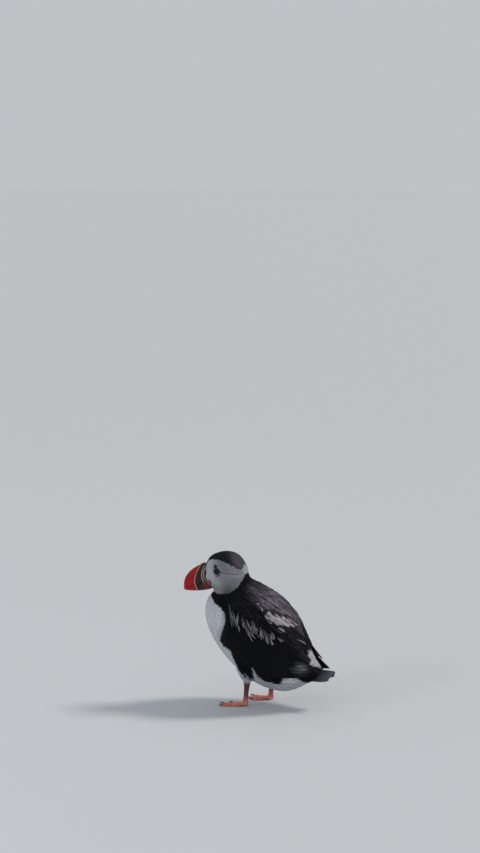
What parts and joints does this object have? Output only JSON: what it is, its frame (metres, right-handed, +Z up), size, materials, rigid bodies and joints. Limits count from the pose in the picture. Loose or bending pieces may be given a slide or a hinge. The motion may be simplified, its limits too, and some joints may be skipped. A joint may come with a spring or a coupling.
{
  "type": "puffin figure",
  "caption": "Life-size standing Atlantic puffin with folded wings, a deep laterally flattened bill, webbed feet and a short fanned tail.",
  "frame": {"origin": "middle of the bounding box's floor, where the soles rest", "axes": "-Y is the way the bird faces, +X its left side, +Z up"},
  "size_m": [0.118, 0.2236, 0.2137],
  "materials": {
    "black_plumage": "glossy black contour feathers, browner where worn",
    "dusky_plumage": "soft dusky flank feathers",
    "white_plumage": "soft white feathers",
    "face_plumage": "very short pale grey face feathers with a black cap",
    "bill_horn": "waxy horn, red towards the tip and slate at the base",
    "gape_skin": "wrinkled orange-yellow skin",
    "leg_skin": "scaled orange-red skin, with black claws",
    "eye_horn": "matt slate-grey horn",
    "eye": "wet dark brown eye"
  },
  "bodies": {
    "root": {"back": "black_plumage", "bill_lower": "bill_horn", "bill_upper": "bill_horn", "eye_left": "eye", "eye_plate_lower_left": "eye_horn", "eye_plate_lower_right": "eye_horn", "eye_plate_upper_left": "eye_horn", "eye_plate_upper_right": "eye_horn", "eye_right": "eye", "foot_left": "leg_skin", "foot_right": "leg_skin", "gape_left": "gape_skin", "gape_right": "gape_skin", "head": "face_plumage", "neck": "black_plumage", "primaries_left": "black_plumage", "primaries_right": "black_plumage", "tail": "black_plumage", "tarsus_left": "leg_skin", "tarsus_right": "leg_skin", "thigh_left": "dusky_plumage", "thigh_right": "dusky_plumage", "trunk": "white_plumage", "wing_left": "black_plumage", "wing_right": "black_plumage"}
  },
  "joints": []
}
